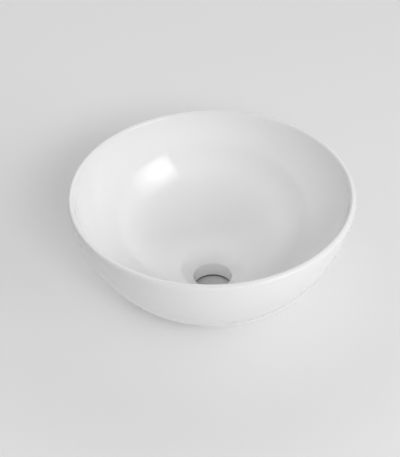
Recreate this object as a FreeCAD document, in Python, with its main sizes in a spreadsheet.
import FreeCAD, Part
import math
import os
import Sketcher
from FreeCAD import Vector

# A round countertop basin: one ceramic casting, turned from its half section, and a rubber ring under its
# waste boss. The origin is on the axis, on the surface that the basin stands on.

# Driving dimensions in millimetres, with one angle in degrees
SIZES = {
    # Bowl seen from outside
    "rim_diameter": 330.0,
    "basin_height": 145.0,
    "wall_thickness": 7.5,
    # Inside of the bowl
    "floor_height": 30.4,
    "floor_crown_radius": 440.0,
    "floor_diameter": 116.0,
    "floor_thickness": 13.0,
    # Dished seat and hole for the waste
    "waste_hole_diameter": 45.0,
    "seat_diameter": 74.0,
    "seat_depth": 9.0,
    "seat_rounding": 9.0,
    "mouth_rounding": 2.0,
    # Underside, from the hole outwards
    "boss_wall": 14.0,
    "channel_width": 11.5,
    "channel_rounding": 3.0,
    "foot_width": 10.0,
    "foot_height": 9.0,
    "foot_bevel": 1.0,
    "mould_draft": 5.0,
    # Rubber ring between the waste boss and the counter
    "seal_thickness": 3.0,
    "seal_setback": 1.5,
}

# How near an edge has to be to a corner of the section to belong to it
MATCH = 0.001

# How a sketch numbers an edge's points, and its own axes; the flat axis starts at the origin
START, END, CENTRE = range(1, 4)
FLAT_AXIS, UPRIGHT_AXIS = range(-1, -3, -1)
ORIGIN = (FLAT_AXIS, START)


def make_sheet(doc):
    sheet = doc.addObject("Spreadsheet::Sheet", "sizes")
    for row, (name, value) in enumerate(SIZES.items(), 1):
        sheet.set(f"A{row}", name)
        sheet.set(f"B{row}", str(value))
        sheet.setAlias(f"B{row}", name)
    doc.recompute()


def make_sketch(body, name, plane_role):
    """Add a sketch to the body, on the origin plane with this role."""
    plane = next(feature for feature in body.Origin.OriginFeatures if feature.Role == plane_role)
    sketch = body.newObject("Sketcher::SketchObject", name)
    sketch.AttachmentSupport = [(plane, "")]
    sketch.MapMode = "FlatFace"
    return sketch


def dimension(sketch, kind, places, name, formula, value):
    """Add one named dimension to the sketch and tie it to the sheet by a formula."""
    number = sketch.addConstraint(Sketcher.Constraint(kind, *places, value))
    sketch.renameConstraint(number, name)
    sketch.setExpression(f"Constraints.{name}", formula)


def arc(centre, start, end):
    """An arc about the centre, counter-clockwise from start to end."""
    first, last = start - centre, end - centre
    circle = Part.Circle(centre, Vector(0, 0, 1), first.Length)
    return Part.ArcOfCircle(circle, math.atan2(first.y, first.x), math.atan2(last.y, last.x))


def section_corners():
    """Work out where the section's corners and arc centres lie, so that its sketch starts in shape."""
    size = SIZES
    lean = math.tan(math.radians(size["mould_draft"]))
    hole = size["waste_hole_diameter"] / 2
    boss = hole + size["boss_wall"]
    foot_inside = boss + size["channel_width"]
    foot_outside = foot_inside + size["foot_width"]
    roof = size["floor_height"] - size["floor_thickness"]
    foot_top = Vector(foot_outside + size["foot_height"] * lean, size["foot_height"])
    at = {
        "hole_bottom": Vector(hole, size["seal_thickness"]),
        "boss_edge": Vector(boss, size["seal_thickness"]),
        "roof_inside": Vector(boss + (roof - size["seal_thickness"]) * lean, roof),
        "roof_outside": Vector(foot_inside - roof * lean, roof),
        "foot_inside": Vector(foot_inside, 0),
        "foot_outside": Vector(foot_outside, 0),
        "foot_top": foot_top,
        "mouth": Vector(hole, size["floor_height"] - size["seat_depth"]),
    }

    # The outside is a ball about the axis, from the top of the foot to the widest ring of the round lip
    lip_radius = size["wall_thickness"] / 2
    widest = Vector(size["rim_diameter"] / 2, size["basin_height"] - lip_radius)
    ball_height = (widest.dot(widest) - foot_top.dot(foot_top)) / (2 * (widest.y - foot_top.y))
    ball = Vector(0, ball_height)
    lip = widest - Vector(lip_radius, 0)
    outward = (lip - ball).normalize()
    at["ball"] = ball
    at["lip"] = lip
    at["lip_outside"] = lip + outward * lip_radius
    at["lip_inside"] = lip - outward * lip_radius

    # The floor is a very flat ball about the axis
    crown_radius = size["floor_crown_radius"]
    crown = Vector(0, size["floor_height"] + crown_radius)

    def on_floor(diameter):
        reach = diameter / 2
        return Vector(reach, crown.y - math.sqrt(crown_radius ** 2 - reach ** 2))

    at["crown"] = crown
    at["floor_end"] = on_floor(size["floor_diameter"])
    at["seat_edge"] = on_floor(size["seat_diameter"])

    # One arc carries the floor's end smoothly into the wall, which keeps its thickness up to the lip
    inner_radius = (at["lip_inside"] - ball).Length
    inward = (crown - at["floor_end"]) * (1 / crown_radius)
    reach = at["floor_end"] - ball
    corner_radius = (inner_radius ** 2 - reach.dot(reach)) / (2 * (inner_radius + reach.dot(inward)))
    at["corner"] = at["floor_end"] + inward * corner_radius
    at["wall_foot"] = ball + (at["corner"] - ball) * (inner_radius / (inner_radius - corner_radius))
    return at


def draw_section(sketch):
    """Draw the half section of the bowl, tie it to the sheet and return the number of each edge."""
    at = section_corners()
    edges = {}

    def line(name, start, end):
        edges[name] = sketch.addGeometry(Part.LineSegment(at[start], at[end]), False)

    def curve(name, centre, start, end):
        edges[name] = sketch.addGeometry(arc(at[centre], at[start], at[end]), False)

    line("boss_bottom", "hole_bottom", "boss_edge")
    line("boss_side", "boss_edge", "roof_inside")
    line("channel_roof", "roof_inside", "roof_outside")
    line("foot_inner_side", "roof_outside", "foot_inside")
    line("foot_bottom", "foot_inside", "foot_outside")
    line("foot_outer_side", "foot_outside", "foot_top")
    curve("outer_wall", "ball", "foot_top", "lip_outside")
    curve("lip", "lip", "lip_outside", "lip_inside")
    curve("inner_wall", "ball", "wall_foot", "lip_inside")
    curve("corner", "corner", "floor_end", "wall_foot")
    curve("floor", "crown", "seat_edge", "floor_end")
    line("seat", "seat_edge", "mouth")
    line("hole_wall", "mouth", "hole_bottom")

    def tie(kind, *places):
        sketch.addConstraint(Sketcher.Constraint(kind, *places))

    chain = ["seat", "hole_wall", "boss_bottom", "boss_side", "channel_roof", "foot_inner_side",
             "foot_bottom", "foot_outer_side", "outer_wall"]
    for before, after in zip(chain, chain[1:]):
        tie("Coincident", edges[before], END, edges[after], START)
    tie("Tangent", edges["outer_wall"], END, edges["lip"], START)
    tie("Tangent", edges["lip"], END, edges["inner_wall"], END)
    tie("Tangent", edges["inner_wall"], START, edges["corner"], END)
    tie("Tangent", edges["corner"], START, edges["floor"], END)
    tie("Coincident", edges["floor"], START, edges["seat"], START)
    tie("Vertical", edges["hole_wall"])
    tie("Horizontal", edges["boss_bottom"])
    tie("Horizontal", edges["channel_roof"])
    tie("PointOnObject", edges["foot_bottom"], START, FLAT_AXIS)
    tie("PointOnObject", edges["foot_bottom"], END, FLAT_AXIS)
    tie("PointOnObject", edges["outer_wall"], CENTRE, UPRIGHT_AXIS)
    tie("Coincident", edges["inner_wall"], CENTRE, edges["outer_wall"], CENTRE)
    tie("PointOnObject", edges["floor"], CENTRE, UPRIGHT_AXIS)

    def across(name, first, second, formula):
        span = sketch.getPoint(*second).x - sketch.getPoint(*first).x
        dimension(sketch, "DistanceX", (*first, *second), name, formula, span)

    def up(name, place, formula):
        dimension(sketch, "DistanceY", (*ORIGIN, *place), name, formula, sketch.getPoint(*place).y)

    def radius(name, edge, formula):
        dimension(sketch, "Radius", (edge,), name, formula, sketch.Geometry[edge].Radius)

    roof = "(sizes.floor_height - sizes.floor_thickness)"
    lean = "tan(sizes.mould_draft * 1 deg)"
    up("boss_clearance", (edges["boss_bottom"], START), "sizes.seal_thickness")
    across("hole_radius", ORIGIN, (edges["boss_bottom"], START), "sizes.waste_hole_diameter / 2")
    across("boss_wall", (edges["boss_bottom"], START), (edges["boss_bottom"], END), "sizes.boss_wall")
    across("boss_lean", (edges["boss_side"], START), (edges["boss_side"], END),
           f"({roof} - sizes.seal_thickness) * {lean}")
    up("roof_height", (edges["channel_roof"], END), roof)
    across("channel_width", (edges["boss_bottom"], END), (edges["foot_bottom"], START),
           "sizes.channel_width")
    across("foot_inner_lean", (edges["foot_inner_side"], START), (edges["foot_inner_side"], END),
           f"{roof} * {lean}")
    across("foot_width", (edges["foot_bottom"], START), (edges["foot_bottom"], END), "sizes.foot_width")
    across("foot_outer_lean", (edges["foot_outer_side"], START), (edges["foot_outer_side"], END),
           f"sizes.foot_height * {lean}")
    up("foot_height", (edges["foot_outer_side"], END), "sizes.foot_height")
    across("lip_reach", ORIGIN, (edges["lip"], CENTRE), "(sizes.rim_diameter - sizes.wall_thickness) / 2")
    up("lip_height", (edges["lip"], CENTRE), "sizes.basin_height - sizes.wall_thickness / 2")
    radius("lip_radius", edges["lip"], "sizes.wall_thickness / 2")
    radius("floor_crown_radius", edges["floor"], "sizes.floor_crown_radius")
    up("crown_height", (edges["floor"], CENTRE), "sizes.floor_height + sizes.floor_crown_radius")
    across("floor_radius", ORIGIN, (edges["corner"], START), "sizes.floor_diameter / 2")
    across("seat_radius", ORIGIN, (edges["seat"], START), "sizes.seat_diameter / 2")
    up("mouth_height", (edges["hole_wall"], START), "sizes.floor_height - sizes.seat_depth")
    return edges


def finish_corners(body, section, kind, name, corners, formula):
    """Round or bevel the ring-shaped edges that these corners of the section swept."""
    base = body.Tip
    rings = []
    for place in corners:
        corner = section.getPoint(*place)
        for number, edge in enumerate(base.Shape.Edges, 1):
            if not isinstance(edge.Curve, Part.Circle):
                continue
            same_radius = abs(edge.Curve.Radius - corner.x) < MATCH
            same_height = abs(edge.Curve.Center.z - corner.y) < MATCH
            if same_radius and same_height:
                rings.append(f"Edge{number}")
    finish = body.newObject(f"PartDesign::{kind}", name)
    finish.Base = (base, rings)
    finish.setExpression("Radius" if kind == "Fillet" else "Size", formula)
    body.Document.recompute()


def make_ceramic_bowl(doc):
    body = doc.addObject("PartDesign::Body", "ceramic_bowl")
    body.Label = "ceramic_bowl"
    section = make_sketch(body, "bowl_section", "XZ_Plane")
    edges = draw_section(section)
    turned = body.newObject("PartDesign::Revolution", "turned_bowl")
    turned.Profile = section
    turned.ReferenceAxis = (section, ["V_Axis"])
    turned.Angle = 360
    doc.recompute()

    finish_corners(body, section, "Fillet", "seat_rounding", [(edges["seat"], START)], "sizes.seat_rounding")
    finish_corners(body, section, "Fillet", "mouth_rounding", [(edges["seat"], END)], "sizes.mouth_rounding")
    finish_corners(body, section, "Fillet", "channel_rounding",
                   [(edges["channel_roof"], START), (edges["channel_roof"], END),
                    (edges["foot_outer_side"], END)],
                   "sizes.channel_rounding")
    finish_corners(body, section, "Chamfer", "foot_bevel",
                   [(edges["boss_bottom"], START), (edges["boss_bottom"], END),
                    (edges["foot_bottom"], START), (edges["foot_bottom"], END)],
                   "sizes.foot_bevel")
    return body


def make_base_seal(doc):
    body = doc.addObject("PartDesign::Body", "base_seal")
    body.Label = "base_seal"
    outline = make_sketch(body, "seal_outline", "XY_Plane")
    hole = SIZES["waste_hole_diameter"] / 2
    bore = hole + SIZES["seal_setback"]
    edge = hole + SIZES["boss_wall"] - SIZES["seal_setback"]
    circles = {
        "bore_radius": (bore, "sizes.waste_hole_diameter / 2 + sizes.seal_setback"),
        "edge_radius": (edge, "sizes.waste_hole_diameter / 2 + sizes.boss_wall - sizes.seal_setback"),
    }
    for name, (radius, formula) in circles.items():
        ring = outline.addGeometry(Part.Circle(Vector(0, 0, 0), Vector(0, 0, 1), radius), False)
        outline.addConstraint(Sketcher.Constraint("Coincident", ring, CENTRE, *ORIGIN))
        dimension(outline, "Radius", (ring,), name, formula, radius)
    pad = body.newObject("PartDesign::Pad", "seal_ring")
    pad.Profile = outline
    pad.setExpression("Length", "sizes.seal_thickness")
    doc.recompute()
    return body


def check(doc, parts):
    """Stop if any object failed or any sub-part isn't one sound solid."""
    for item in doc.Objects:
        if "Invalid" in item.State or "Error" in item.State:
            raise RuntimeError(f"{item.Name} failed: {item.State}")
    for part in parts:
        shape = part.Shape
        if shape.isNull() or not shape.isValid() or len(shape.Solids) != 1:
            raise RuntimeError(f"{part.Label} isn't one sound solid")


doc = FreeCAD.newDocument("countertop_basin")
make_sheet(doc)
parts = [make_ceramic_bowl(doc), make_base_seal(doc)]
doc.recompute()
check(doc, parts)
os.makedirs("parts", exist_ok=True)
for part in parts:
    part.Shape.exportStep(f"parts/{part.Label}.step")
    box = part.Shape.optimalBoundingBox(False, False)
    print(f"{part.Label}: {box.XLength:.2f} x {box.YLength:.2f} x {box.ZLength:.2f} mm, "
          f"{part.Shape.Volume / 1000:.1f} cm3")
